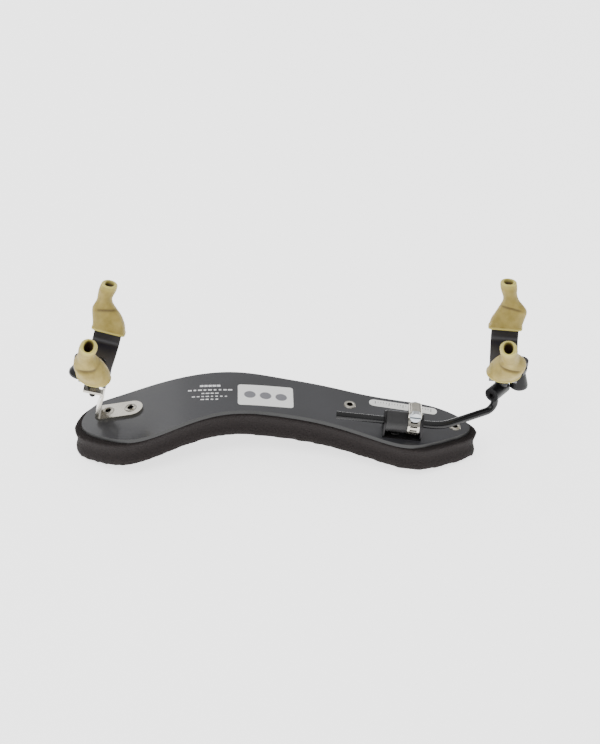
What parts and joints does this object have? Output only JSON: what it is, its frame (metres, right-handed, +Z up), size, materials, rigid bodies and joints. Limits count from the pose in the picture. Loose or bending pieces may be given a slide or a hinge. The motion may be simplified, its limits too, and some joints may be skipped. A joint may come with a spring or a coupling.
{
  "type": "violin shoulder rest",
  "caption": "Arched violin shoulder rest: a foam-padded plate with a height-adjustable gripping fork at one end and a rod-mounted fork at the other, both with rubber feet.",
  "frame": {"origin": "middle of the rest in plan, on the surface the pad stands on", "axes": "+Z up, +X along the rest from the chest end to the shoulder end, +Y to the rear edge"},
  "size_m": [0.2258, 0.0722, 0.0805],
  "materials": {
    "plate_black": "semi-gloss black",
    "foam_dark": "soft open foam",
    "nickel_plate": "bright nickel plating",
    "zinc_steel": "zinc plated",
    "black_steel": "black oxide",
    "black_coat": "satin black coating",
    "black_plastic": "moulded black",
    "black_rubber": "smooth black rubber",
    "khaki_rubber": "matt khaki rubber",
    "label_white": "coated paper"
  },
  "bodies": {
    "pad": {"base_plate": "plate_black", "foam_pad": "foam_dark", "plate_eyelets": "nickel_plate", "bracket_eyelets": "nickel_plate", "picture_sticker": "label_white", "scale_sticker": "label_white", "chest_bracket": "nickel_plate", "cradle_rivet": "nickel_plate"},
    "cradle": {"clamp_cradle": "black_steel"},
    "sleeve": {"clamp_sleeve": "black_rubber", "clamp_band": "nickel_plate", "worm_housing": "nickel_plate"},
    "worm": {"worm_screw": "zinc_steel"},
    "rod": {"support_rod": "black_coat"},
    "holder": {"shoulder_holder": "black_plastic", "holder_grub_screw": "black_steel", "shoulder_pivot_screw": "black_steel"},
    "shoulder_grip": {"shoulder_fork": "black_coat", "shoulder_foot_front": "khaki_rubber", "shoulder_foot_rear": "khaki_rubber"},
    "shoulder_knob": {"shoulder_clamp_knob": "black_plastic"},
    "chest_post": {"height_stud": "black_steel", "chest_hub": "black_plastic", "chest_pivot_screw": "black_steel"},
    "chest_grip": {"chest_fork": "black_coat", "chest_foot_front": "khaki_rubber", "chest_foot_rear": "khaki_rubber"},
    "chest_knob": {"chest_clamp_knob": "black_plastic"},
    "upper_nut": {"upper_height_nut": "nickel_plate"},
    "lower_nut": {"lower_height_nut": "nickel_plate"}
  },
  "joints": [
    {"name": "cradle_swivel", "type": "hinge", "parent": "pad", "child": "cradle", "pos_m": [0.04742, -0.01522, 0.01937], "axis": [0.0958, 0, 0.9954], "range_deg": [-8, 8]},
    {"name": "sleeve_turn", "type": "hinge", "parent": "cradle", "child": "sleeve", "pos_m": [0.05136, -0.01522, 0.02587], "axis": [0.9954, 0, -0.0958], "range_deg": [-10, 10]},
    {"name": "worm_turn", "type": "hinge", "parent": "sleeve", "child": "worm", "pos_m": [0.05687, -0.01522, 0.03297], "axis": [0, 1, 0], "continuous": true},
    {"name": "rod_slide", "type": "slide", "parent": "sleeve", "child": "rod", "axis": [0.9954, 0, -0.0958], "range_m": [-0.002, 0.012]},
    {"name": "holder_turn", "type": "hinge", "parent": "rod", "child": "holder", "pos_m": [0.09692, 0.00114, 0.03388], "axis": [0, 0, 1], "range_deg": [-20, 20]},
    {"name": "shoulder_fork_swing", "type": "hinge", "parent": "holder", "child": "shoulder_grip", "pos_m": [0.0998, 0.00498, 0.04988], "axis": [0, 0, 1], "range_deg": [-12, 12]},
    {"name": "shoulder_knob_turn", "type": "hinge", "parent": "shoulder_grip", "child": "shoulder_knob", "pos_m": [0.10837, 0.00423, 0.04658], "axis": [0, 0, 1], "continuous": true},
    {"name": "chest_fork_height", "type": "slide", "parent": "pad", "child": "chest_post", "axis": [0.2071, -0.0181, 0.9781], "range_m": [-0.0022, 0.0022]},
    {"name": "upper_nut_turn", "type": "hinge", "parent": "pad", "child": "upper_nut", "pos_m": [-0.10044, -0.0043, 0.03605], "axis": [0.2071, -0.0181, 0.9781], "range_deg": [-995, 995]},
    {"name": "lower_nut_turn", "type": "hinge", "parent": "pad", "child": "lower_nut", "pos_m": [-0.10111, -0.00424, 0.03292], "axis": [0.2071, -0.0181, 0.9781], "range_deg": [-995, 995]},
    {"name": "chest_fork_swing", "type": "hinge", "parent": "chest_post", "child": "chest_grip", "pos_m": [-0.0979, -0.00452, 0.04808], "axis": [0.2071, -0.0181, 0.9781], "range_deg": [-12, 12]},
    {"name": "chest_knob_turn", "type": "hinge", "parent": "chest_grip", "child": "chest_knob", "pos_m": [-0.10696, -0.00373, 0.04664], "axis": [0.2071, -0.0181, 0.9781], "continuous": true}
  ],
  "couplings": [
    {"joint": "upper_nut_turn", "follows": "chest_fork_height", "rad_per_m": -7854},
    {"joint": "lower_nut_turn", "follows": "chest_fork_height", "rad_per_m": -7854}
  ]
}
